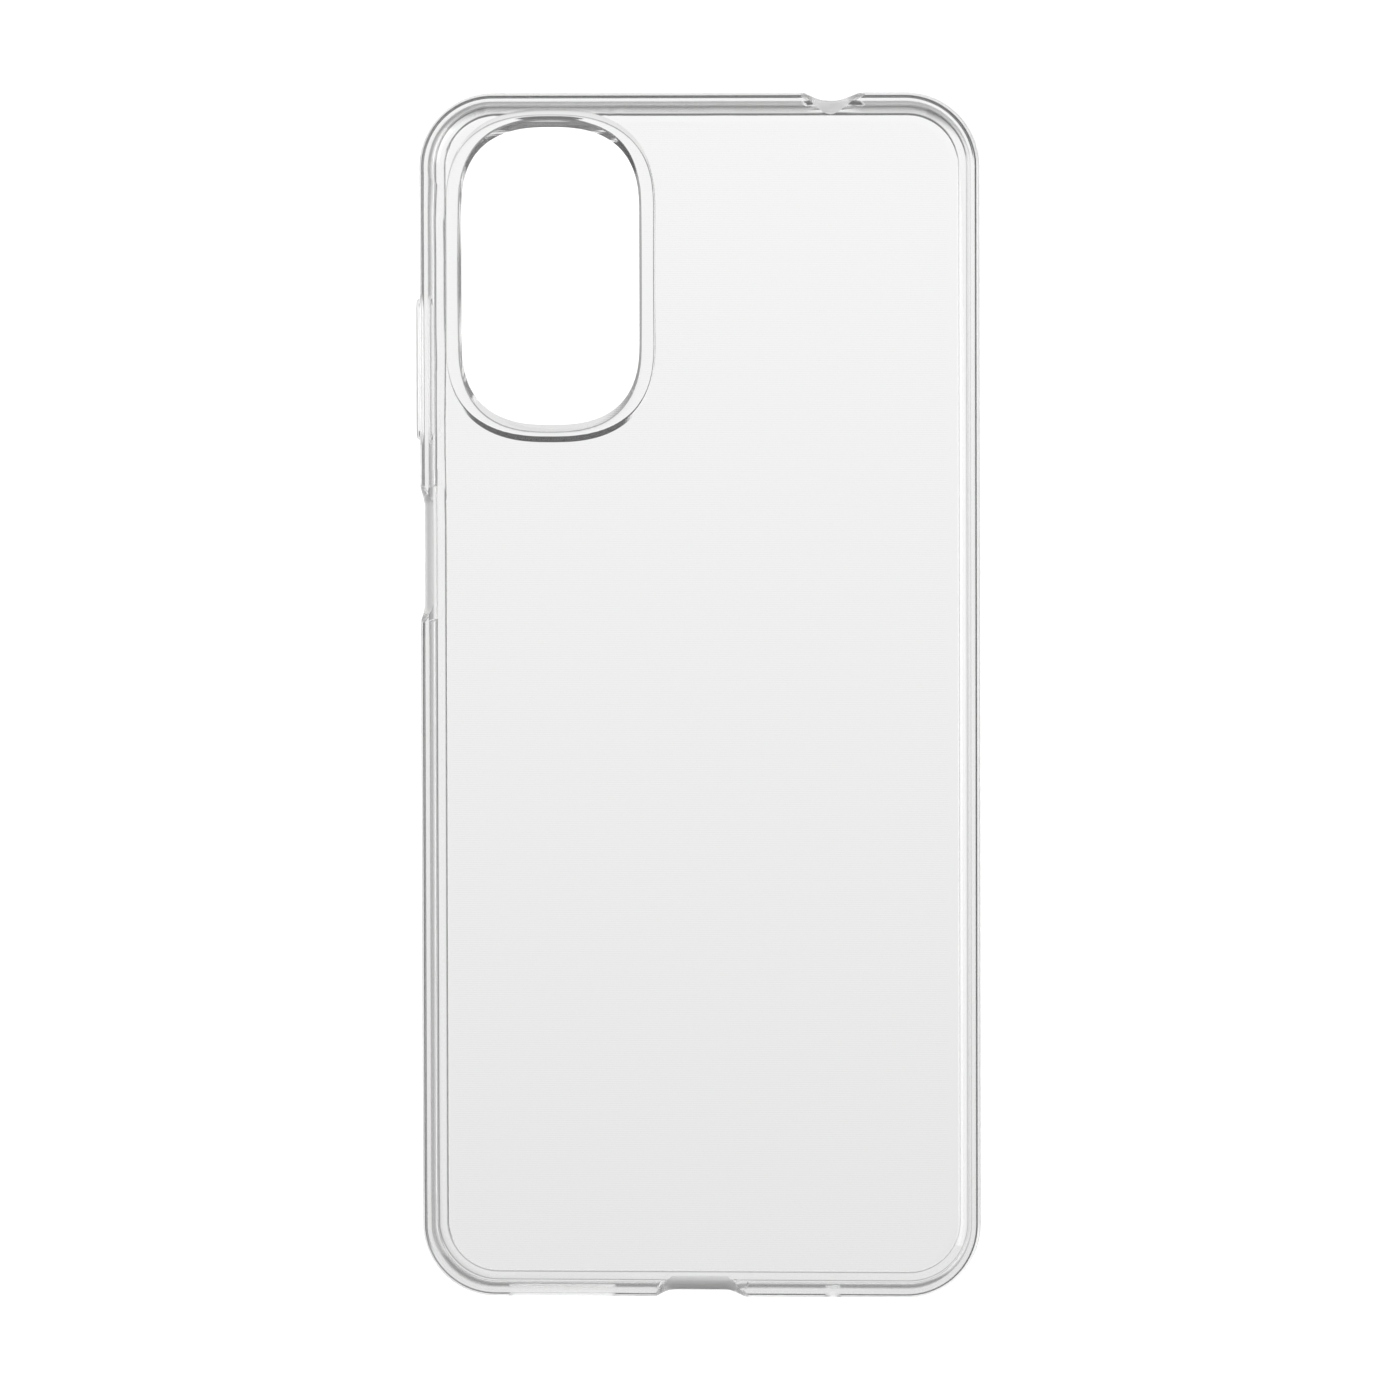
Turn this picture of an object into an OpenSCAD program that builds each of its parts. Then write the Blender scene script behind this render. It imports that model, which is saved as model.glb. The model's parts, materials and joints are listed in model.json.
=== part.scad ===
// Clear flexible phone case, lying on its screen lip with its back upwards.
// The real case is one moulding. Each module below draws one named zone of it,
// and neighbouring zones meet face to face. Only the volume pad moves.
// +X is to the right as seen from the back, with the keys on the -X side,
// +Y points towards the headphone jack and +Z out of the back.
// The origin is under the middle of the case, in the plane of the lip.

/* [Shell] */
// Outer width of the case
case_w = 77.4; // [75:0.1:84]
// Outer length of the case
case_l = 166.5; // [162:0.1:175]
// Height from the front of the lip to the outer back
case_t = 10.5; // [10.4:0.1:12]
// Outer radius of the corners, seen from the back
corner_r = 10.2; // [9:0.1:12]
// Thickness of the back and of the walls
wall_t = 1.1; // [0.8:0.1:1.4]
// Outer radius of the shoulder between the back and the walls
shoulder_r = 4; // [3.6:0.1:4.1]

/* [Screen lip] */
// Thickness of the lip, which is also its outer edge radius
lip_t = 1; // [0.8:0.1:1.1]
// How far the lip reaches in from the outer wall face
lip_reach = 3.1; // [2.4:0.1:3.2]

/* [Camera opening] */
// Middle of the opening along X
camera_x = -20.2; // [-20.4:0.1:-18]
// Middle of the opening along Y
camera_y = 58.1; // [54:0.1:58.2]
// Width of the opening
camera_w = 24.6; // [20:0.1:24.6]
// Height of the opening
camera_h = 41; // [38:0.1:42]
// Length of each rounded end of the opening
camera_cap = 11.7; // [8:0.1:12]
// Exponent of the rounded ends, where 2 is an ellipse and more is squarer
camera_power = 2.6; // [2:0.1:3]
// Width of the rim along the sides of the opening
rim_side_t = 1.9; // [1.2:0.1:2]
// Width of the rim at the two ends of the opening
rim_end_t = 2.4; // [1.2:0.1:2.4]
// How far the rim stands above the back
rim_rise = 0.8; // [0.4:0.1:1.2]

/* [Volume pad] */
// Middle of the pad along Y
pad_y = 45.1; // [40:0.1:50]
// Length of the pad
pad_l = 19.6; // [14:0.1:24]
// Height of the pad
pad_h = 3; // [2.6:0.1:3.4]
// How far the pad stands proud of the wall
pad_proud = 0.6; // [0.55:0.05:0.8]
// Width of the thin web all round the pad
web_w = 0.5; // [0.4:0.1:0.7]
// Thickness of the thin web
web_t = 0.5; // [0.4:0.1:0.6]
// How far the boss behind the pad stands into the case
boss_rise = 0.3; // [0.2:0.1:0.5]

/* [Power key window] */
// Middle of the window along Y
power_y = 19.6; // [14:0.1:24]
// Length of the window
power_l = 18.4; // [14:0.1:20]
// Top of the window above the lip plane
power_top = 8.8; // [8:0.1:9.2]
// Corner radius of the window
power_r = 2.5; // [1:0.1:3]

/* [Jack window] */
// Middle of the window along X
jack_x = 18.4; // [14:0.1:22]
// Width of the window, which has a round top
jack_w = 8.1; // [6:0.1:8.2]
// Top of the window above the lip plane
jack_top = 9.25; // [9:0.05:9.3]

/* [Bottom openings] */
// Width of the window for the charging port, which is in the middle
usb_w = 12; // [10:0.1:14]
// Top of the window above the lip plane
usb_top = 9.3; // [8:0.1:9.3]
// Corner radius of the window
usb_r = 2.5; // [1:0.1:3]
// Middle of the speaker slot along X
speaker_x = -19.4; // [-20:0.1:-17]
// Length of the speaker slot
speaker_l = 14.8; // [10:0.1:16]
// Height of the speaker slot
speaker_h = 1.8; // [1.2:0.1:2.4]
// Middle of the microphone hole along X
mic_x = 18.2; // [14:0.1:22]
// Diameter of the microphone hole
mic_d = 2.1; // [1.5:0.1:2.5]
// How far the lip is set back in front of each window
lip_setback = 1.1; // [0.8:0.1:1.2]

/* [Hidden] */

$fn = 96;
clear = [0.91, 0.93, 0.94];
half_w = case_w / 2;
half_l = case_l / 2;
inner_back_z = case_t - wall_t;
shoulder_z = case_t - shoulder_r;
corner_x = half_w - corner_r;
corner_y = half_l - corner_r;
// Height of the middle of the phone's edge, where its ports are
port_z = (lip_t + inner_back_z) / 2;
// Height of the middle of the pad, which sits as high as the straight wall lets it
pad_z = shoulder_z - pad_h / 2 - web_w - 0.1;
// Length by which a cutting tool overshoots the face that it cuts
over = 2;

// Quarter of a disc in the first quadrant
module quarter_disc(r) {
    intersection() {
        circle(r);
        square(r);
    }
}

// Solid outline of the case edge: x = 0 is the outer wall face, y is height
module edge_outline() {
    translate([-shoulder_r, shoulder_z])
        quarter_disc(shoulder_r);
    translate([-shoulder_r, lip_t])
        square([shoulder_r, shoulder_z - lip_t]);
    translate([-lip_t, lip_t])
        mirror([0, 1])
            quarter_disc(lip_t);
    translate([-shoulder_r, 0])
        square([shoulder_r - lip_t, lip_t]);
}

// Room for the phone, in the same frame as the edge outline
module phone_outline() {
    translate([-shoulder_r, shoulder_z])
        quarter_disc(shoulder_r - wall_t);
    translate([-shoulder_r, -over])
        square([shoulder_r - wall_t, shoulder_z + over]);
}

// Cross-section of the edge between the heights z0 and z1, without the lip
module edge_section(z0, z1) {
    intersection() {
        difference() {
            edge_outline();
            phone_outline();
        }
        translate([-shoulder_r, z0])
            square([shoulder_r, z1 - z0]);
    }
}

module wall_section() {
    edge_section(lip_t, shoulder_z);
}

module shoulder_section() {
    edge_section(shoulder_z, case_t);
}

module corner_section() {
    edge_section(lip_t, case_t);
}

// Cross-section of the lip, with a round nose on its inner edge
module lip_section() {
    nose_r = lip_t / 2;
    translate([-lip_reach + nose_r, nose_r])
        circle(nose_r);
    translate([-lip_reach + nose_r, 0])
        square([lip_reach - nose_r - lip_t, lip_t]);
    translate([-lip_t, lip_t])
        mirror([0, 1])
            quarter_disc(lip_t);
}

// The child section drawn out along a side of the case, turned to face angle a
module along_side(a, reach, length) {
    rotate([0, 0, a])
        translate([reach, 0, 0])
            rotate([90, 0, 0])
                linear_extrude(height = length, center = true)
                    children();
}

// The child section swept a quarter turn round the corner that starts at angle a
module round_corner(a) {
    x_side = (a == 0 || a == 270) ? 1 : -1;
    y_side = (a == 0 || a == 90) ? 1 : -1;
    translate([x_side * corner_x, y_side * corner_y, 0])
        rotate([0, 0, a])
            rotate_extrude(angle = 90)
                translate([corner_r, 0])
                    children();
}

// Slot with superellipse ends: half width a, half height h, end length cap
function slot_outline(a, h, cap, quarter_steps) = [
    for (q = [0:3], i = [0:quarter_steps - 1])
        let (
            t = 90 * (q + i / quarter_steps),
            x_sign = (q == 0 || q == 3) ? 1 : -1,
            y_sign = (q < 2) ? 1 : -1,
            x = a * pow(abs(cos(t)), 2 / camera_power),
            y = cap * pow(abs(sin(t)), 2 / camera_power)
        )
        [x_sign * x, y_sign * (h - cap + y)]
];

module camera_opening_outline() {
    translate([camera_x, camera_y])
        polygon(slot_outline(camera_w / 2, camera_h / 2, camera_cap, 14));
}

module rim_outline() {
    translate([camera_x, camera_y])
        polygon(slot_outline(
            camera_w / 2 + rim_side_t, camera_h / 2 + rim_end_t, camera_cap + rim_end_t, 14));
}

// Space that the camera rim takes out of the back and of the shoulder
module rim_space() {
    translate([0, 0, inner_back_z])
        linear_extrude(height = wall_t + over)
            rim_outline();
}

// Slot with two round ends, centred, l long and h high
module stadium(l, h) {
    square([l - h, h], center = true);
    for (side = [-1, 1])
        translate([side * (l - h) / 2, 0])
            circle(h / 2);
}

// Window w wide from the lip plane up to top, with its upper corners rounded
module window_outline(w, top, r) {
    translate([-w / 2, lip_t])
        square([w, top - r - lip_t]);
    if (w > 2 * r)
        translate([-w / 2 + r, lip_t])
            square([w - 2 * r, top - lip_t]);
    for (side = [-1, 1])
        translate([side * (w / 2 - r), top - r])
            circle(r);
}

// Tool that carries the child outline through a wall facing angle a; the
// outline's x runs along the wall and its y is height
module through_wall(a, reach, along) {
    rotate([0, 0, a])
        translate([reach + over, along, 0])
            rotate([90, 0, -90])
                linear_extrude(height = shoulder_r + over)
                    children();
}

// Tool that sets the lip back in front of a window in the wall facing angle a
module lip_relief(a, reach, along, w) {
    rotate([0, 0, a])
        translate([reach - lip_setback, along - w / 2, -over])
            cube([lip_setback + over, w, lip_t + 2 * over]);
}

module power_key_window() {
    through_wall(180, half_w, -power_y)
        window_outline(power_l, power_top, power_r);
}

module jack_window() {
    through_wall(90, half_l, -jack_x)
        window_outline(jack_w, jack_top, jack_w / 2);
}

module charging_port_window() {
    through_wall(270, half_l, 0)
        window_outline(usb_w, usb_top, usb_r);
}

// Outline of the hole in the wall that the web and the pad close
module pad_window_outline() {
    stadium(pad_l + 2 * web_w, pad_h + 2 * web_w);
}

// The child outline at the pad's place, drawn out from x0 to x1
module at_pad(x0, x1) {
    translate([x0, pad_y, pad_z])
        rotate([90, 0, 90])
            linear_extrude(height = x1 - x0)
                children();
}

module back_panel() {
    panel_r = corner_r - shoulder_r;
    color(clear)
        difference() {
            translate([0, 0, inner_back_z])
                linear_extrude(height = wall_t) {
                    square([2 * (half_w - shoulder_r), 2 * corner_y], center = true);
                    square([2 * corner_x, 2 * (half_l - shoulder_r)], center = true);
                    for (x = [-corner_x, corner_x], y = [-corner_y, corner_y])
                        translate([x, y])
                            circle(panel_r);
                }
            rim_space();
        }
}

module camera_rim() {
    color(clear)
        translate([0, 0, inner_back_z])
            linear_extrude(height = wall_t + rim_rise)
                difference() {
                    rim_outline();
                    camera_opening_outline();
                }
}

module key_side_wall() {
    color(clear)
        difference() {
            along_side(180, half_w, 2 * corner_y)
                wall_section();
            at_pad(-half_w - over, -half_w + wall_t + over)
                pad_window_outline();
            power_key_window();
        }
}

module key_side_shoulder() {
    color(clear)
        difference() {
            along_side(180, half_w, 2 * corner_y)
                shoulder_section();
            power_key_window();
        }
}

module plain_side_wall() {
    color(clear)
        along_side(0, half_w, 2 * corner_y)
            wall_section();
}

module plain_side_shoulder() {
    color(clear)
        along_side(0, half_w, 2 * corner_y)
            shoulder_section();
}

module jack_end_wall() {
    color(clear)
        difference() {
            along_side(90, half_l, 2 * corner_x)
                wall_section();
            jack_window();
        }
}

module jack_end_shoulder() {
    color(clear)
        difference() {
            along_side(90, half_l, 2 * corner_x)
                shoulder_section();
            rim_space();
            jack_window();
        }
}

module port_end_wall() {
    color(clear)
        difference() {
            along_side(270, half_l, 2 * corner_x)
                wall_section();
            charging_port_window();
            through_wall(270, half_l, speaker_x)
                translate([0, port_z])
                    stadium(speaker_l, speaker_h);
            translate([mic_x, -half_l - over, port_z])
                rotate([-90, 0, 0])
                    cylinder(d = mic_d, h = shoulder_r + over);
        }
}

module port_end_shoulder() {
    color(clear)
        difference() {
            along_side(270, half_l, 2 * corner_x)
                shoulder_section();
            charging_port_window();
        }
}

module jack_key_corner() {
    color(clear)
        difference() {
            round_corner(90)
                corner_section();
            rim_space();
        }
}

module jack_plain_corner() {
    color(clear)
        round_corner(0)
            corner_section();
}

module port_key_corner() {
    color(clear)
        round_corner(180)
            corner_section();
}

module port_plain_corner() {
    color(clear)
        round_corner(270)
            corner_section();
}

module key_side_lip() {
    color(clear)
        difference() {
            along_side(180, half_w, 2 * corner_y)
                lip_section();
            lip_relief(180, half_w, -power_y, power_l);
        }
}

module plain_side_lip() {
    color(clear)
        along_side(0, half_w, 2 * corner_y)
            lip_section();
}

module jack_end_lip() {
    color(clear)
        difference() {
            along_side(90, half_l, 2 * corner_x)
                lip_section();
            lip_relief(90, half_l, -jack_x, jack_w);
        }
}

module port_end_lip() {
    color(clear)
        difference() {
            along_side(270, half_l, 2 * corner_x)
                lip_section();
            lip_relief(270, half_l, 0, usb_w);
        }
}

module jack_key_lip_corner() {
    color(clear)
        round_corner(90)
            lip_section();
}

module jack_plain_lip_corner() {
    color(clear)
        round_corner(0)
            lip_section();
}

module port_key_lip_corner() {
    color(clear)
        round_corner(180)
            lip_section();
}

module port_plain_lip_corner() {
    color(clear)
        round_corner(270)
            lip_section();
}

module volume_pad() {
    boss_l = pad_l - 5;
    boss_h = pad_h - 1.4;
    color(clear) {
        at_pad(-half_w - pad_proud, -half_w + wall_t)
            stadium(pad_l, pad_h);
        at_pad(-half_w + wall_t - 0.1, -half_w + wall_t + boss_rise)
            stadium(boss_l, boss_h);
    }
}

module volume_web() {
    color(clear)
        at_pad(-half_w + wall_t - web_t, -half_w + wall_t)
            difference() {
                pad_window_outline();
                stadium(pad_l, pad_h);
            }
}

back_panel();
camera_rim();
key_side_wall();
plain_side_wall();
jack_end_wall();
port_end_wall();
key_side_shoulder();
plain_side_shoulder();
jack_end_shoulder();
port_end_shoulder();
jack_key_corner();
jack_plain_corner();
port_key_corner();
port_plain_corner();
key_side_lip();
plain_side_lip();
jack_end_lip();
port_end_lip();
jack_key_lip_corner();
jack_plain_lip_corner();
port_key_lip_corner();
port_plain_lip_corner();
volume_pad();
volume_web();
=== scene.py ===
# %% [markdown]
# # A clear phone case, lying with its back upwards
#
# The real case is one moulding of clear, flexible TPU. It is drawn here as two closed pieces: the shell,
# and the volume pad that can be pressed into it. The imported CAD model gives every place and size, so it is
# loaded first.

# %% Load the frame
import json
import math

import bpy
import numpy as np
from mathutils import Matrix, Vector


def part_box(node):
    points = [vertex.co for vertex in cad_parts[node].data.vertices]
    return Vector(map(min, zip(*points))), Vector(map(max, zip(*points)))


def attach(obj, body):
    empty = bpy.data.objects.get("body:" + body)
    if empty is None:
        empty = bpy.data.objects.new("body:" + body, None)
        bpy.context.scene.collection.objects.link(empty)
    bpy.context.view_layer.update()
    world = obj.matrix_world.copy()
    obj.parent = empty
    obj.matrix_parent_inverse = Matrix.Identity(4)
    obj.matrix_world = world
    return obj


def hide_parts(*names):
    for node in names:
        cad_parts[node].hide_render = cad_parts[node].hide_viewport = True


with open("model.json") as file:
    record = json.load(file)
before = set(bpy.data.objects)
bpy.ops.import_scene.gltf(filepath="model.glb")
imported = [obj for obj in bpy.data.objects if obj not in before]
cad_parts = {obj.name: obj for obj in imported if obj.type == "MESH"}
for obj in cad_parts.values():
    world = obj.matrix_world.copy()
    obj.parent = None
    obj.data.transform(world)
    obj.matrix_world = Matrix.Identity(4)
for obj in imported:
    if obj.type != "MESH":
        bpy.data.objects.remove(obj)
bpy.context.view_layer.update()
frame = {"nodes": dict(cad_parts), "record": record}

MM = 0.001

# %% [markdown]
# ## Sizes
#
# All lengths below are in millimetres and are turned into metres when a mesh is made. The CAD zones say
# where the walls, the back, the lip and the camera rim are. What a box can't say, such as how a rim is
# rounded, is named here.


# %% Read the sizes off the CAD zones
def cad(node):
    """Lowest and highest corner of a CAD node in mm."""
    return np.array(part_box(node)) / MM


back, rim, pad = cad("back_panel"), cad("camera_rim"), cad("volume_pad")
side_wall, jack_wall = cad("plain_side_wall"), cad("jack_end_wall")
side_lip, corner, web = cad("plain_side_lip"), cad("port_plain_corner"), cad("volume_web")

half_w, half_l = side_wall[1, 0], jack_wall[1, 1]
top_z, inner_top_z = back[1, 2], back[0, 2]
wall_t = half_w - side_wall[0, 0]
shoulder_z = side_wall[1, 2]
shoulder_r = top_z - shoulder_z
lip_t = side_wall[0, 2]
lip_reach = half_w - side_lip[0, 0]
corner_r = corner[1, 0] - corner[0, 0]
print(f"shell {2 * half_w:.1f} x {2 * half_l:.1f} x {top_z:.1f}, wall {wall_t:.2f}, corner r {corner_r:.1f}")

# %% [markdown]
# ## The edge of the case, seen from the back
#
# The outline is a rectangle with round corners. A point on it is a core point plus the corner radius along
# the outward direction. Round a corner the core point stands still while the direction turns by a right
# angle, and along a side the direction stays while the core point moves. So eight stretches, joined end to
# end, give exact arcs, exact straight sides and the exact outward direction everywhere.

# %% Points on the outline
core_w, core_l = half_w - corner_r, half_l - corner_r
stretch_core = np.array([
    [1, 1], [1, 1], [-1, 1], [-1, 1], [-1, -1], [-1, -1], [1, -1], [1, -1], [1, 1]]) * [core_w, core_l]
stretch_turn = np.radians([0, 90, 90, 180, 180, 270, 270, 360, 360])


def outline(t):
    """Point and outward direction at t from 0 to 8: core(t) + corner_r (cos a(t), sin a(t)), linear in t."""
    stops = np.arange(9)
    core = np.stack([np.interp(t, stops, stretch_core[:, k]) for k in (0, 1)], -1)
    turn = np.interp(t, stops, stretch_turn)
    outward = np.stack([np.cos(turn), np.sin(turn)], -1)
    return core + corner_r * outward, outward


def depth_inside(xy):
    """How far a point lies inside the outline: corner_r less its distance from the core rectangle."""
    q = np.abs(xy) - [core_w, core_l]
    return corner_r - np.hypot(*np.maximum(q, 0).T) - np.minimum(q.max(-1), 0)


def outer_height(depth):
    """Height of the outer skin: a quarter circle of shoulder_r, then flat."""
    return shoulder_z + np.sqrt(shoulder_r ** 2 - (shoulder_r - np.clip(depth, 0, shoulder_r)) ** 2)


# %% [markdown]
# ## The camera opening and its rim
#
# The opening is a slot whose round ends are a little squarer than half ellipses, so they are superellipses.
# Its rim is a low bead with a sloping flank on both sides, and the slopes are wider at the two ends than
# along the sides. Both curves are used as a distance from the middle of the opening in a given direction.
# Along the sides the bead blends into the back, so its foot reaches a little further out than the plain CAD
# zone.

# %% Curves of the opening
RIM_SIDE = 1.9            # width of the rim along the sides
RIM_END = 2.4             # its width at the two ends
CAP_LENGTH = 11.7         # how long each round end of the opening is
CAP_POWER = 2.6           # power of the superellipse, where 2 would be an ellipse
RIM_FOOT = 0.3
END_SAMPLES, SIDE_SAMPLES = 20001, 801
OFF_SEAM = 1e-6           # keeps the samples off the angle where a full turn ends
opening_mid = rim.mean(0)[:2]
rim_half = (rim[1] - rim[0])[:2] / 2
opening_half = rim_half - [RIM_SIDE, RIM_END]
rim_top_z = rim[1, 2]


def slot_points(half, cap, angle):
    """Superellipse ends: x = a |cos|^(2/p), y = cap |sin|^(2/p), moved out by the straight half-length."""
    c, s = np.cos(angle), np.sin(angle)
    x = half[0] * np.sign(c) * np.abs(c) ** (2 / CAP_POWER)
    y = cap * np.sign(s) * np.abs(s) ** (2 / CAP_POWER) + np.sign(s) * (half[1] - cap)
    return np.stack([x, y], -1)


def slot_radius(half, cap, direction):
    """Distance from the middle to the slot's edge, read off a dense run of its points."""
    ends = slot_points(half, cap, np.linspace(0, 2 * math.pi, END_SAMPLES) + OFF_SEAM)
    up_side = np.linspace(cap - half[1], half[1] - cap, SIDE_SAMPLES)
    sides = [np.column_stack([np.full(SIDE_SAMPLES, x), up_side]) for x in (-half[0], half[0])]
    p = np.concatenate([ends, *sides])
    return np.interp(direction, np.arctan2(p[:, 1], p[:, 0]), np.hypot(*p.T), period=2 * math.pi)


print(f"opening {2 * opening_half[0]:.1f} x {2 * opening_half[1]:.1f}, rim top at {rim_top_z:.1f}")

# %% [markdown]
# ## One closed skin
#
# With its camera opening and its screen mouth, the case without its windows has the shape of a ring. So its
# whole skin is one grid that closes on itself both ways. Each column is a slice that starts from the middle
# of the camera opening and ends on the outline. Each row is a place on the section: under the lip, up the
# wall, over the shoulder and the back, over the camera rim, down through the opening and back along the
# inside. A grid like this has no seam, so the light that goes through it meets only the two skins that the
# real moulding has.

# %% The columns of the grid
CORNER_STEPS = 20                      # columns on each corner of the case
SIDE_STEP = 6.0                        # distance of the columns along a side
CAP_STEPS = 28                         # columns on each quarter of the opening
SMALLEST_STEP = math.radians(0.07)     # columns closer than this are left out
OUTLINE_SAMPLES = 16001
OFF_AXIS = 1e-4


def direction_from_opening(xy):
    """Polar angle of a point, seen from the middle of the camera opening."""
    return np.arctan2(*(xy - opening_mid).T[::-1])


def column_places():
    """Outline parameter of every column: even steps on corners and sides, and more at the opening's ends."""
    runs = []
    for stretch in range(8):
        length = np.hypot(*(stretch_core[stretch + 1] - stretch_core[stretch]))
        steps = CORNER_STEPS if stretch % 2 == 0 else max(2, round(length / SIDE_STEP))
        runs.append(stretch + np.arange(steps) / steps)
    on_outline = np.concatenate(runs)
    dense = np.linspace(0, 8, OUTLINE_SAMPLES)
    seen = np.unwrap(direction_from_opening(outline(dense)[0]))
    ends = np.linspace(0, 2 * math.pi, 4 * CAP_STEPS, endpoint=False) + OFF_AXIS
    ends = direction_from_opening(opening_mid + slot_points(opening_half, CAP_LENGTH, ends))
    ends = (ends - seen[0]) % (2 * math.pi) + seen[0]
    seen_all = np.concatenate([np.interp(on_outline, dense, seen), ends])
    place_all = np.concatenate([on_outline, np.interp(ends, seen, dense)])
    order = np.argsort(seen_all)
    seen_all, place_all = seen_all[order], place_all[order]
    wide = np.diff(seen_all, append=seen_all[0] + 2 * math.pi) > SMALLEST_STEP
    return place_all[wide]


edge_point, edge_out = outline(column_places())
ray = direction_from_opening(edge_point)
ray_xy = np.stack([np.cos(ray), np.sin(ray)], -1)
opening_edge = opening_mid + ray_xy * slot_radius(opening_half, CAP_LENGTH, ray)[:, None]
rim_edge = opening_mid + ray_xy * slot_radius(rim_half + [RIM_FOOT, 0], CAP_LENGTH + RIM_END, ray)[:, None]
print(len(edge_point), "columns")

# %% [markdown]
# ## The rows of the grid
#
# Every row is an array with one point for each column. Beside the opening the rim is closer to the edge
# than the shoulder is wide, so there the rows of the shoulder lean towards the rim and move together. Their
# height still comes from their true depth inside the outline, so the shoulder stays exact.

# %% Rows of the outer skin
GUARD = 0.15               # the guard row past the end of the shoulder, which keeps the back's shading flat
WALL_GUARD = 0.2           # the same beside the other edges of a wall
NEAR, FAR = 6.0, 14.0      # the shoulder rows turn towards the rim where the edge is this close to it
RIM_ROOM = 0.12            # least gap between the last row of the shoulder and the rim
RIM_GUARD = 0.06           # the guard row just outside the rim
NOSE_R = 0.42              # round inner edge of the lip
FOOT_R = 0.6               # round outer edge of the lip
BACK_ROWS = 5              # rows across a flat face

gap = np.hypot(*(rim_edge - edge_point).T)
to_rim = (rim_edge - edge_point) / gap[:, None]
far_share = np.clip((gap - NEAR) / (FAR - NEAR), 0, 1)[:, None]
inward = far_share * -edge_out + (1 - far_share) * to_rim
shoulder_span = np.minimum(shoulder_r + GUARD, gap - RIM_ROOM)
squeeze = shoulder_span / (shoulder_r + GUARD)


def row(xy, z):
    """Puts a height, or one height for each column, on plan points."""
    return np.column_stack([xy, np.broadcast_to(z, len(xy))])


def at_depth(depth, z):
    """Row at an even depth inside the outline: edge point - depth * outward direction."""
    return row(edge_point - depth * edge_out, z)


def on_outer_skin(xy):
    """Row that lies on the outer skin, whatever its plan points."""
    return row(xy, outer_height(depth_inside(xy)))


def quarter(steps):
    """Angles that divide a quarter turn evenly."""
    return np.linspace(0, math.pi / 2, steps + 1)


nose_mid = lip_reach - NOSE_R
outer_rows = []
for a in quarter(5):
    outer_rows.append(at_depth(nose_mid + NOSE_R * math.cos(a), NOSE_R * (1 - math.sin(a))))
for depth in (nose_mid - WALL_GUARD, lip_t + WALL_GUARD):
    outer_rows.append(at_depth(depth, 0))
for a in quarter(8):
    outer_rows.append(at_depth(FOOT_R * (1 - math.sin(a)), FOOT_R * (1 - math.cos(a))))
for z in (FOOT_R + GUARD, (lip_t + shoulder_z) / 2, shoulder_z - GUARD):
    outer_rows.append(at_depth(0, z))
for a in quarter(15):
    depth = shoulder_r * (1 - math.cos(a)) * squeeze[:, None]
    outer_rows.append(on_outer_skin(edge_point + depth * inward))
guard_xy = edge_point + shoulder_span[:, None] * inward
rim_guard_xy = rim_edge - to_rim * RIM_GUARD
for share in np.linspace(0, 1, BACK_ROWS):
    outer_rows.append(on_outer_skin((1 - share) * guard_xy + share * rim_guard_xy))

# %% [markdown]
# ## The section of the rim
#
# Cut across, the rim is a bead with a steep outer flank, a flat top and an inner flank that leans into the
# opening. Both flanks are wider at the two ends of the opening than along its sides, and the change between
# them follows the direction of the opening's edge. The flanks matter more than their size suggests: a
# sloping face on clear plastic is a small prism, and it draws the dark crescents of the two ends.

# %% Rows of the rim and the opening
OUTER_SLOPE_SIDE, OUTER_SLOPE_END = 0.15, 0.75    # width of the outer flank
INNER_SLOPE_SIDE, INNER_SLOPE_END = 0.5, 1.0      # width of the inner flank
STEEPNESS_SIDE, STEEPNESS_END = 0.75, 1.1         # drop of the inner flank for each mm of its width
BEND_R = 0.2              # reach of the round corners of the bead
END_SHARPNESS = 1.5       # how quickly the flanks change from the sides to the ends
OPENING_EDGE_R = 0.15     # round inner edge of the opening

rim_w = np.hypot(*(opening_edge - rim_edge).T)
across = (opening_edge - rim_edge) / rim_w[:, None]
along_opening = np.roll(opening_edge, -1, 0) - np.roll(opening_edge, 1, 0)
end_share = (np.abs(along_opening[:, 0]) / np.hypot(*along_opening.T)) ** END_SHARPNESS
outer_slope_w = OUTER_SLOPE_SIDE + (OUTER_SLOPE_END - OUTER_SLOPE_SIDE) * end_share
inner_slope_w = INNER_SLOPE_SIDE + (INNER_SLOPE_END - INNER_SLOPE_SIDE) * end_share
foot_z = outer_height(depth_inside(rim_edge))
rim_foot = np.column_stack([0 * rim_w, foot_z])
rim_outer_corner = np.column_stack([outer_slope_w, np.full(len(rim_w), rim_top_z)])
rim_inner_corner = np.column_stack([rim_w - inner_slope_w, np.full(len(rim_w), rim_top_z)])
steepness = STEEPNESS_SIDE + (STEEPNESS_END - STEEPNESS_SIDE) * end_share
opening_rim = np.column_stack([rim_w, rim_top_z - steepness * inner_slope_w])


def rim_row(section):
    """Row of the rim from its section points: distance in from the rim's outer edge, and height."""
    return row(rim_edge + section[:, :1] * across, section[:, 1])


def bend(before, at, after, steps):
    """Round corner: the curve (1-t)^2 a + 2t(1-t) corner + t^2 b between points BEND_R either side."""
    a = at + BEND_R * (before - at) / np.hypot(*(before - at).T)[:, None]
    b = at + BEND_R * (after - at) / np.hypot(*(after - at).T)[:, None]
    return [(1 - t) ** 2 * a + 2 * t * (1 - t) * at + t ** 2 * b for t in np.linspace(0, 1, steps + 1)]


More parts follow.
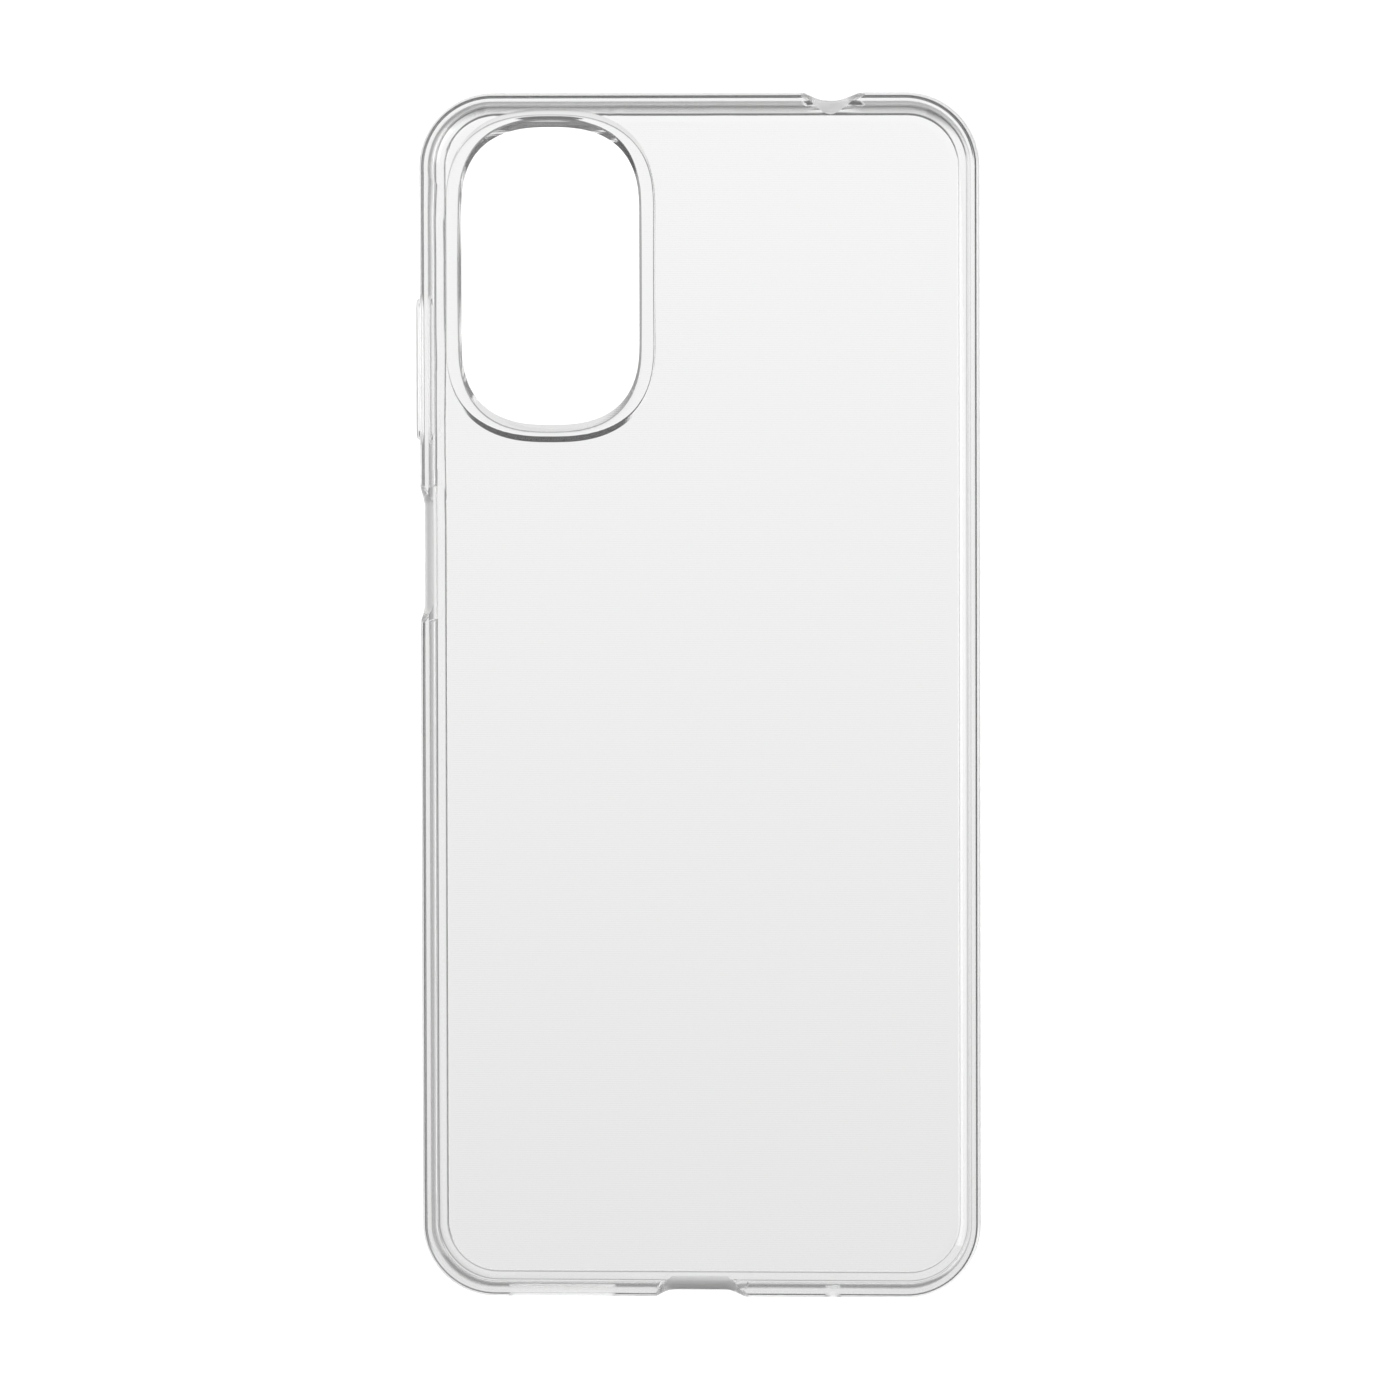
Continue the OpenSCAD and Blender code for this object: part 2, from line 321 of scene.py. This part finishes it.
outer_rows.append(rim_row(rim_foot))
for section in bend(rim_foot, rim_outer_corner, rim_inner_corner, 7):
    outer_rows.append(rim_row(section))
for section in bend(rim_outer_corner, rim_inner_corner, opening_rim, 7):
    outer_rows.append(rim_row(section))
outer_rows.append(rim_row(opening_rim))
outer_rows.append(row(opening_edge, (opening_rim[:, 1] + inner_top_z) / 2))

# %% [markdown]
# ## The inside
#
# The inner skin starts at the opening, runs flat under the back and turns down about the shoulder's own
# centre, so that the wall keeps its thickness. It ends in a small fillet on the lip.

# %% Rows of the inner skin
LIP_FILLET = 0.4
OPENING_GUARD = 0.1
inner_rows = []
inner_guard_xy = edge_point - (shoulder_r + GUARD) * edge_out
to_edge = inner_guard_xy - opening_edge
to_edge /= np.hypot(*to_edge.T)[:, None]
for a in quarter(3):
    xy = opening_edge + OPENING_EDGE_R * (1 - math.cos(a)) * to_edge
    outer_rows.append(row(xy, inner_top_z + OPENING_EDGE_R * (1 - math.sin(a))))
inner_start_xy = opening_edge + (OPENING_EDGE_R + OPENING_GUARD) * to_edge
for share in np.linspace(0, 1, BACK_ROWS):
    inner_rows.append(row((1 - share) * inner_start_xy + share * inner_guard_xy, inner_top_z))
inner_r = shoulder_r - wall_t
for a in quarter(12):
    inner_rows.append(at_depth(shoulder_r - inner_r * math.sin(a), shoulder_z + inner_r * math.cos(a)))
for z in (shoulder_z - GUARD, (lip_t + shoulder_z) / 2, lip_t + LIP_FILLET + GUARD):
    inner_rows.append(at_depth(wall_t, z))
lip_rows = []
for a in quarter(6):
    depth = wall_t + LIP_FILLET * (1 - math.cos(a))
    lip_rows.append(at_depth(depth, lip_t + LIP_FILLET * (1 - math.sin(a))))
for a in quarter(5):
    lip_rows.append(at_depth(nose_mid + NOSE_R * math.sin(a), lip_t - NOSE_R * (1 - math.cos(a))))
print(len(outer_rows), "outer rows,", len(inner_rows), "inner rows,", len(lip_rows), "rows on the lip")

# %% [markdown]
# ## Clear TPU
#
# TPU is a rubbery plastic with a refractive index of about 1.5, clear and colourless here. The mould gives
# it three finishes. Most of it comes off polished steel, so it is smooth and glossy. The inner face of the
# back has fine low dots, which stop it from sticking to the phone in wet-looking patches. The window edges
# come off the side pins, which are only satin. It is one clear material all over, so one function makes all
# three finishes.
#
# A closed piece that bends light would throw a dark shadow, so shadow rays pass it almost freely.


# %% Node helpers
def linear(code):
    """sRGB hex colour to linear RGBA: c / 12.92 up to 0.04045, and ((c + 0.055) / 1.055) ^ 2.4 above."""
    c = np.array([int(code[i:i + 2], 16) for i in (1, 3, 5)]) / 255
    return (*np.where(c <= 0.04045, c / 12.92, ((c + 0.055) / 1.055) ** 2.4), 1.0)


def add(tree, kind, links=(), sets=(), **settings):
    """Adds a node, sets its properties and input values, and links other nodes' outputs to its inputs."""
    node = tree.nodes.new(kind)
    for key, value in settings.items():
        setattr(node, key, value)
    for socket, value in dict(sets).items():
        node.inputs[socket].default_value = value
    for socket, output in dict(links).items():
        tree.links.new(output, node.inputs[socket])
    return node


# %% The TPU material
TPU_IOR = 1.5
TPU_COLOUR = "#FCFCFC"
POLISHED, DOTTED, SATIN = 0.03, 0.08, 0.5
SHADOW_PASS = "#F4F4F4"      # what a shadow ray keeps of its light at each skin
DOT_PITCH = 0.3
DOT_HEIGHT = 0.0015


def clear_tpu(name, roughness, dotted):
    """Clear TPU with the given roughness. The dots are a bump of cos(kx) + cos(ky), with k = 2 pi / pitch."""
    material = bpy.data.materials.new(name)
    material.use_nodes = True
    tree = material.node_tree
    tree.nodes.clear()
    tpu = add(tree, "ShaderNodeBsdfPrincipled", sets={
        "Base Color": linear(TPU_COLOUR), "Roughness": roughness, "IOR": TPU_IOR, "Transmission Weight": 1.0})
    if dotted:
        place = add(tree, "ShaderNodeTexCoord").outputs["Object"]
        scaled = add(tree, "ShaderNodeVectorMath", operation="SCALE", links={0: place},
                     sets={"Scale": 2 * math.pi / (DOT_PITCH * MM)})
        axes = add(tree, "ShaderNodeSeparateXYZ", links={0: scaled.outputs[0]})
        wave_x = add(tree, "ShaderNodeMath", operation="COSINE", links={0: axes.outputs["X"]})
        wave_y = add(tree, "ShaderNodeMath", operation="COSINE", links={0: axes.outputs["Y"]})
        waves = {0: wave_x.outputs[0], 1: wave_y.outputs[0]}
        dots = add(tree, "ShaderNodeMath", operation="ADD", links=waves)
        bump = add(tree, "ShaderNodeBump", links={"Height": dots.outputs[0]},
                   sets={"Strength": 1.0, "Distance": DOT_HEIGHT * MM})
        tree.links.new(bump.outputs["Normal"], tpu.inputs["Normal"])
    passing = add(tree, "ShaderNodeBsdfTransparent", sets={"Color": linear(SHADOW_PASS)})
    is_shadow = add(tree, "ShaderNodeLightPath").outputs["Is Shadow Ray"]
    mixed = add(tree, "ShaderNodeMixShader", links={0: is_shadow, 1: tpu.outputs[0], 2: passing.outputs[0]})
    add(tree, "ShaderNodeOutputMaterial", links={"Surface": mixed.outputs[0]})
    return material


polished_tpu = clear_tpu("clear_tpu_polished", POLISHED, dotted=False)
dotted_tpu = clear_tpu("clear_tpu_micro_dots", DOTTED, dotted=True)
satin_tpu = clear_tpu("clear_tpu_satin", SATIN, dotted=False)
FINISHES = [polished_tpu, dotted_tpu, satin_tpu]

# %% [markdown]
# ## From rows to a mesh
#
# The rows are stacked into one array of points, and each grid cell becomes a four-sided face. The last row
# and the last column join the first. The enclosed volume tells which way the faces point: if it comes out
# negative, all of them are turned round. A face's finish is its material slot, and the dots are only on the
# flat inner face.


# %% Mesh helpers
def volume(points, faces):
    """Enclosed volume of a closed mesh: a fan of triangles for each face, summed as a . (b x c) / 6."""
    total = 0.0
    for size in {len(f) for f in faces}:
        p = points[np.array([f for f in faces if len(f) == size])]
        for k in range(1, size - 1):
            total += np.einsum("ij,ij->", p[:, 0], np.cross(p[:, k], p[:, k + 1])) / 6
    return total


def ring_faces(rows, columns, closed_rows=False):
    """Cells of a grid whose columns close on themselves, and whose rows do if closed_rows is set."""
    r = np.arange(rows if closed_rows else rows - 1)[:, None]
    c = np.arange(columns)[None]
    r2, c2 = (r + 1) % rows, (c + 1) % columns
    cells = [r * columns + c, r * columns + c2, r2 * columns + c2, r2 * columns + c]
    return np.stack(cells, -1).reshape(-1, 4).tolist()


def make_object(name, points, faces):
    """Object at the origin: its points, in mm, are in the mesh, and its faces point outwards."""
    faces = [tuple(f) for f in faces]
    if volume(points, faces) < 0:
        faces = [f[::-1] for f in faces]
    mesh = bpy.data.meshes.new(name)
    mesh.from_pydata(points * MM, [], faces)
    mesh.validate()
    for finish in FINISHES:
        mesh.materials.append(finish)
    obj = bpy.data.objects.new(name, mesh)
    bpy.context.scene.collection.objects.link(obj)
    return obj


# %% The shell before its windows are cut
skin = np.stack(outer_rows + inner_rows + lip_rows)
cells = ring_faces(len(skin), len(edge_point), closed_rows=True)
shell = make_object("case_shell", skin.reshape(-1, 3), cells)
cell_row = np.repeat(np.arange(len(skin)), len(edge_point))
is_dotted = (cell_row >= len(outer_rows)) & (cell_row < len(outer_rows) + BACK_ROWS - 1)
slots = np.where(is_dotted, FINISHES.index(dotted_tpu), FINISHES.index(polished_tpu)).astype(np.int32)
shell.data.polygons.foreach_set("material_index", slots)
print(len(shell.data.polygons), "faces in the shell")

# %% [markdown]
# ## The windows
#
# In the mould, steel pins make the windows for the power key, the jack and the charging port, the speaker
# slot, the microphone hole and the hole round the volume pad. Here each is a closed tube that is cut out of
# the shell. A tube is one outline repeated at several depths, and it flares where it leaves the outer wall,
# which leaves the small round edge that a moulding has. The three windows run down past the front, because
# the lip stands back behind them.


# %% Tube helpers
THINNEST = 0.001          # least half-width of the straight part of an outline
FLARE_OUT = 1.5           # a tube starts this far outside the wall
FLARE_ANGLE = math.radians(60)
FLARE_ARC = (20, 90, 7)   # first and last angle of its round edge in degrees, and the number of rows


def round_box(width, z0, z1, r, steps):
    """Rounded rectangle: corner points and outward directions. Corner + (r + g) * direction grows it by g."""
    turn = np.concatenate([np.linspace(a, a + math.pi / 2, steps + 1) for a in np.arange(4) * math.pi / 2])
    away = np.stack([np.cos(turn), np.sin(turn)], -1)
    signs = np.repeat([[1, 1], [-1, 1], [-1, -1], [1, -1]], steps + 1, 0)
    mid = np.array([0, (z0 + z1) / 2])
    core = mid + signs * [max(width / 2 - r, THINNEST), max((z1 - z0) / 2 - r, THINNEST)]
    return core, away, r


def grown(shape, amount):
    """The shape's outline, grown outwards by an amount in mm."""
    core, away, r = shape
    return core + (r + amount) * away


def flare_rows(shape, edge_r):
    """(depth, outline) pairs of a quarter-round edge: depth r (1 - cos a), growth r (1 - sin a)."""
    pairs = [(-FLARE_OUT, grown(shape, edge_r + FLARE_OUT / math.tan(FLARE_ANGLE)))]
    for a in np.radians(np.linspace(*FLARE_ARC)):
        pairs.append((edge_r * (1 - math.cos(a)), grown(shape, edge_r * (1 - math.sin(a)))))
    return pairs


def wall_tube(side, middle, pairs, follow=None):
    """Tube through a wall. Outline x runs along the wall, depth runs inwards; follow shifts each column."""
    stack = np.stack([p for _, p in pairs])
    depth = np.broadcast_to(np.array([d for d, _ in pairs])[:, None], stack.shape[:2]).copy()
    if follow is not None:
        depth[1:-1] += follow
    along = middle + stack[..., 0]
    plans = {
        "key": (-half_w + depth, along),
        "jack": (along, half_l - depth),
        "port": (along, -half_l + depth),
    }
    points = np.stack([*plans[side], stack[..., 1]], -1)
    rows, columns = stack.shape[:2]
    faces = ring_faces(rows, columns)
    faces += [list(range(columns))[::-1], list(range((rows - 1) * columns, rows * columns))]
    return points.reshape(-1, 3), faces


# %% Shapes of the windows
WINDOW_EDGE_R = 0.4
SMALL_EDGE_R = 0.2
WINDOW_STEPS, SLOT_STEPS = 9, 12      # steps on each corner of an outline
BELOW_FRONT = -3.0                    # bottom of a window's tall outline, well below the front
PAST_LIP = lip_t + 0.02               # bottom of its short outline, a hair above the lip
SET_BACK = (0.02, 0.03)               # the outline changes between these depths behind the wall
THROUGH = 5.9                         # depth at which a window's tube ends, inside the room for the phone
OVERSHOOT = 0.6                       # a slot's tube ends this far behind the wall
PORT_Z = (lip_t + inner_top_z) / 2
POWER_L, POWER_TOP, POWER_R = 18.4, 8.8, 2.5
JACK_W, JACK_TOP = 8.1, 9.25
USB_W, USB_TOP, USB_R = 12.0, 9.3, 2.5
SPEAKER_X, SPEAKER_L, SPEAKER_H = -19.4, 14.8, 1.8
MIC_X, MIC_D = 18.2, 2.1
SIDES = {"power_key_window": "key", "jack_window": "jack", "charging_port_window": "port"}
opening_boxes = {o["name"]: np.array(o["box_m"]) / MM for o in frame["record"]["physics"]["openings"]}


def window_tube(opening, width, top, r):
    """Window that is open at the front over the set-back of the lip, and stops above the lip further in."""
    side = SIDES[opening]
    middle = opening_boxes[opening].mean(0)[1 if side == "key" else 0]
    tall = round_box(width, BELOW_FRONT, top, r, WINDOW_STEPS)
    short = round_box(width, PAST_LIP, top, r, WINDOW_STEPS)
    pairs = flare_rows(tall, WINDOW_EDGE_R)
    pairs += [(wall_t + SET_BACK[0], grown(tall, 0)), (wall_t + SET_BACK[1], grown(short, 0))]
    pairs += [(THROUGH, grown(short, 0))]
    high = np.clip(grown(tall, 0)[:, 1], shoulder_z, top) - shoulder_z
    follow = shoulder_r - np.sqrt(shoulder_r ** 2 - high ** 2)
    return wall_tube(side, middle, pairs, follow)


def slot_tube(middle, length, height):
    """Slot or hole through the port end wall at the height of the phone's ports."""
    shape = round_box(length, PORT_Z - height / 2, PORT_Z + height / 2, height / 2, SLOT_STEPS)
    pairs = flare_rows(shape, SMALL_EDGE_R) + [(wall_t + OVERSHOOT, grown(shape, 0))]
    return wall_tube("port", middle, pairs)


PAD_GAP = 0.03            # room round the pad, so that it can slide
PAD_STEP = 0.01           # the hole narrows to the pad over this depth
pad_mid = pad.mean(0)
pad_l, pad_h = pad[1, 1] - pad[0, 1], pad[1, 2] - pad[0, 2]
web_w = (web[1, 2] - web[0, 2] - pad_h) / 2
web_front = web[0, 0] + half_w


def pad_shape(extra=0.0):
    """Slot with round ends at the pad's place, grown by an amount."""
    h = pad_h + 2 * extra
    return round_box(pad_l + 2 * extra, pad_mid[2] - h / 2, pad_mid[2] + h / 2, h / 2, SLOT_STEPS)


pad_pairs = flare_rows(pad_shape(web_w), SMALL_EDGE_R)
pad_pairs += [(web_front, grown(pad_shape(), web_w)), (web_front + PAD_STEP, grown(pad_shape(), PAD_GAP))]
pad_pairs += [(wall_t + OVERSHOOT, grown(pad_shape(), PAD_GAP))]
tubes = [
    window_tube("power_key_window", POWER_L, POWER_TOP, POWER_R),
    window_tube("jack_window", JACK_W, JACK_TOP, JACK_W / 2),
    window_tube("charging_port_window", USB_W, USB_TOP, USB_R),
    slot_tube(SPEAKER_X, SPEAKER_L, SPEAKER_H),
    slot_tube(MIC_X, MIC_D, MIC_D),
    wall_tube("key", pad_mid[1], pad_pairs)]

# %% [markdown]
# ## Cutting
#
# All tubes go into one mesh and are cut away in one exact Boolean, which is then applied, so the shell is a
# plain mesh again. The cut faces keep the satin finish of the tubes.


# %% Cut the windows
def joined(parts):
    """Puts closed tubes into one mesh, each turned outwards before they are joined."""
    points, faces, start = [], [], 0
    for p, f in parts:
        if volume(p, f) < 0:
            f = [q[::-1] for q in f]
        points.append(p)
        faces += [[v + start for v in q] for q in f]
        start += len(p)
    return np.concatenate(points), faces


SHARP_ANGLE = math.radians(14)


def finish_edges(obj):
    """Smooth shading that stops where two faces meet at more than the sharp angle."""
    obj.data.polygons.foreach_set("use_smooth", np.ones(len(obj.data.polygons), bool))
    obj.data.set_sharp_from_angle(angle=SHARP_ANGLE)


cutter = make_object("window_tubes", *joined(tubes))
satin_slots = np.full(len(cutter.data.polygons), FINISHES.index(satin_tpu), np.int32)
cutter.data.polygons.foreach_set("material_index", satin_slots)
cut = shell.modifiers.new("windows", "BOOLEAN")
cut.operation = "DIFFERENCE"
cut.solver = "EXACT"
cut.object = cutter
depsgraph = bpy.context.evaluated_depsgraph_get()
finished = bpy.data.meshes.new_from_object(shell.evaluated_get(depsgraph))
shell.modifiers.clear()
shell.data = finished
bpy.data.objects.remove(cutter)
finish_edges(shell)
print(len(shell.data.polygons), "faces after the windows are cut")

# %% [markdown]
# ## The volume pad
#
# The pad is a thick island in the wall with a thin web round it. It is pressed from outside, and the boss
# on its back reaches the phone's own key. It is a closed stack of outlines too: a soft front edge, straight
# sides, and the smaller boss behind. It rides on its own body, so it has a hair of room in its hole.

# %% Make the pad
PAD_FRONT_R = 0.45
PAD_FACE_INSETS = (1.2, 0.8)     # outlines on its flat front
BOSS_STEP = 0.7
BOSS_R = 0.25
pad_front, pad_back = pad[0, 0] + half_w, pad[1, 0] + half_w

pad_stack = [(pad_front, grown(pad_shape(), -inset)) for inset in PAD_FACE_INSETS]
for a in quarter(7):
    depth = pad_front + PAD_FRONT_R * (1 - math.cos(a))
    pad_stack.append((depth, grown(pad_shape(), -PAD_FRONT_R * (1 - math.sin(a)))))
for depth in (WALL_GUARD, wall_t - WALL_GUARD, wall_t):
    pad_stack.append((depth, grown(pad_shape(), 0)))
pad_stack.append((wall_t, grown(pad_shape(), -BOSS_STEP)))
for a in quarter(5):
    depth = pad_back - BOSS_R * (1 - math.sin(a))
    pad_stack.append((depth, grown(pad_shape(), -BOSS_STEP - BOSS_R * (1 - math.cos(a)))))
pad_piece = make_object("volume_pad_moulding", *wall_tube("key", pad_mid[1], pad_stack))
finish_edges(pad_piece)
print(len(pad_piece.data.polygons), "faces in the pad")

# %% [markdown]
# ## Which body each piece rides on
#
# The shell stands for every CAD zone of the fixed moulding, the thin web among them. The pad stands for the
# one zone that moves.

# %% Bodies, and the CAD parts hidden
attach(shell, "case")
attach(pad_piece, "volume_pad")
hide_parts(*[node for node in frame["nodes"] if node != "volume_pad"])
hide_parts("volume_pad")

# %% [markdown]
# ## Studio
#
# A clear object shows only by what it bends and mirrors. On a white table lit evenly from all round it
# would all but vanish, so the surroundings below it hold three soft darker zones: one towards the jack end,
# one on the left, and a faint ring nearly straight down. Edges that bend light into them draw themselves
# dark, and the flat back, which bends nothing, stays almost white. The table is seen directly but not
# through the case, so that these surroundings are what the case shows. From below the table lets everything
# through, so it hides nothing there either.

# %% Table
TABLE_HALF = 3.0
TABLE_DROP = 0.0004
table_mesh = bpy.data.meshes.new("table")
corners = np.array([[-1, -1, 0], [1, -1, 0], [1, 1, 0], [-1, 1, 0]]) * TABLE_HALF - [0, 0, TABLE_DROP]
table_mesh.from_pydata(corners, [], [(0, 1, 2, 3)])
table = bpy.data.objects.new("table", table_mesh)
bpy.context.scene.collection.objects.link(table)
table.visible_transmission = False

paper = bpy.data.materials.new("white_paper")
paper.use_nodes = True
paper.node_tree.nodes.clear()
matt = add(paper.node_tree, "ShaderNodeBsdfDiffuse", sets={"Color": linear("#FFFFFF")})
from_below = add(paper.node_tree, "ShaderNodeNewGeometry").outputs["Backfacing"]
gone = add(paper.node_tree, "ShaderNodeBsdfTransparent")
either = add(paper.node_tree, "ShaderNodeMixShader",
             links={0: from_below, 1: matt.outputs[0], 2: gone.outputs[0]})
add(paper.node_tree, "ShaderNodeOutputMaterial", links={"Surface": either.outputs[0]})
table_mesh.materials.append(paper)

# %% Surroundings
PORT_END_TONE, JACK_END_TONE, OVERHEAD_TONE = 0.775, 0.935, 1.15
TONE_Y = (-0.10, 0.0)              # where the light changes from the port end's tone to the jack end's
OVERHEAD_Z = (-0.2, 0.3)           # where it changes to the tone overhead
DARK_VALUE = 0.07                  # what is left of the light in the darkest place
JACK_Y = (0.045, 0.13)             # where the zone towards the jack end begins, and is full
LEFT_WAY = (0.16, 0.30)            # the same for the zone on the left
LEFT_SHARE = 0.88
LOBE_Z = (-0.82, -0.75)            # where both zones fade out upwards
RING_INNER_Z = (-0.982, -0.968)    # where the ring begins, beside straight down
RING_OUTER_Z = (-0.925, -0.893)    # where the ring fades out
RING_SHARE = 0.65

world = bpy.data.worlds.new("studio")
bpy.context.scene.world = world
world.use_nodes = True
tree = world.node_tree
tree.nodes.clear()


def fade(source, start, end, low=0.0, high=1.0):
    """Smooth change from low to high as the source goes from start to end."""
    node = add(tree, "ShaderNodeMapRange", interpolation_type="SMOOTHSTEP", links={0: source},
               sets={1: start, 2: end, 3: low, 4: high})
    return node.outputs[0]


def combine(operation, first, second):
    """Math node on an output and another output, or a number."""
    node = add(tree, "ShaderNodeMath", operation=operation, links={0: first})
    if isinstance(second, (int, float)):
        node.inputs[1].default_value = second
    else:
        tree.links.new(second, node.inputs[1])
    return node.outputs[0]


way = add(tree, "ShaderNodeTexCoord").outputs["Generated"]
axes = add(tree, "ShaderNodeSeparateXYZ", links={0: way})
way_x, way_y, way_z = axes.outputs
slope = add(tree, "ShaderNodeMapRange", links={0: way_y},
            sets={1: TONE_Y[0], 2: TONE_Y[1], 3: PORT_END_TONE, 4: JACK_END_TONE})
overhead = fade(way_z, *OVERHEAD_Z)
light = add(tree, "ShaderNodeMix", data_type="FLOAT", links={0: overhead, 2: slope.outputs[0]},
            sets={3: OVERHEAD_TONE})
to_left = combine("ADD", combine("MULTIPLY", way_x, -1.0), combine("MINIMUM", way_y, 0.0))
from_left = combine("MULTIPLY", fade(to_left, *LEFT_WAY), LEFT_SHARE)
from_jack_end = fade(way_y, *JACK_Y)
lobe = combine("MULTIPLY", combine("MAXIMUM", from_jack_end, from_left), fade(way_z, *LOBE_Z, 1.0, 0.0))
ring = combine("MULTIPLY", fade(way_z, *RING_INNER_Z), fade(way_z, *RING_OUTER_Z, RING_SHARE, 0.0))
shade = combine("MAXIMUM", lobe, ring)
keep = add(tree, "ShaderNodeMapRange", links={0: shade}, sets={1: 0.0, 2: 1.0, 3: 1.0, 4: DARK_VALUE})
glow = add(tree, "ShaderNodeMath", operation="MULTIPLY", links={0: light.outputs[0], 1: keep.outputs[0]})
sky = add(tree, "ShaderNodeBackground", links={"Color": glow.outputs[0]}, sets={"Strength": 1.0})
add(tree, "ShaderNodeOutputWorld", links={"Surface": sky.outputs[0]})


# %% Softboxes
def softbox(name, place, size, power):
    """Square area light that faces the middle of the case. Place and size in metres, power in watts."""
    light = bpy.data.lights.new(name, "AREA")
    light.size = size
    light.energy = power
    obj = bpy.data.objects.new(name, light)
    obj.matrix_world = Matrix.Translation(place) @ Vector(place).to_track_quat("Z", "Y").to_matrix().to_4x4()
    bpy.context.scene.collection.objects.link(obj)


softbox("left_softbox", (-1.1, 0.5, 0.9), 0.7, 3.5)
softbox("right_softbox", (1.2, -0.3, 1.0), 0.7, 3.0)
softbox("top_softbox", (0.1, 1.4, 0.8), 0.8, 3.0)

# %% [markdown]
# ## Camera
#
# A long lens looks almost straight down from a little to one side, so the case keeps its plan proportions.

# %% Place the camera
CAMERA_PLACE = Vector((0.135, 0.091, 1.8))
CAMERA_AIM = Vector((0, 0, 0.0055))
FRAME_WIDTH = 0.1935      # how much the picture spans at the case, in metres
SENSOR = 36.0
ROLL = math.radians(-0.14)
SHIFT = (-0.00036, -0.00304)
BOUNCES = 32

lens = bpy.data.cameras.new("camera")
lens.sensor_width = SENSOR
lens.lens = SENSOR * (CAMERA_PLACE - CAMERA_AIM).length / FRAME_WIDTH
lens.shift_x, lens.shift_y = SHIFT
lens.clip_end = 20
camera = bpy.data.objects.new("camera", lens)
bpy.context.scene.collection.objects.link(camera)
look = CAMERA_AIM - CAMERA_PLACE
right = look.cross(Vector((0, 1, 0))).normalized()
up = right.cross(look).normalized()
turn = Matrix((right, up, -look.normalized())).transposed().to_4x4()
camera.matrix_world = Matrix.Translation(CAMERA_PLACE) @ turn @ Matrix.Rotation(ROLL, 4, "Z")
scene = bpy.context.scene
scene.camera = camera
scene.view_settings.view_transform = "Standard"
scene.cycles.max_bounces = BOUNCES
scene.cycles.transmission_bounces = BOUNCES
scene.cycles.transparent_max_bounces = BOUNCES
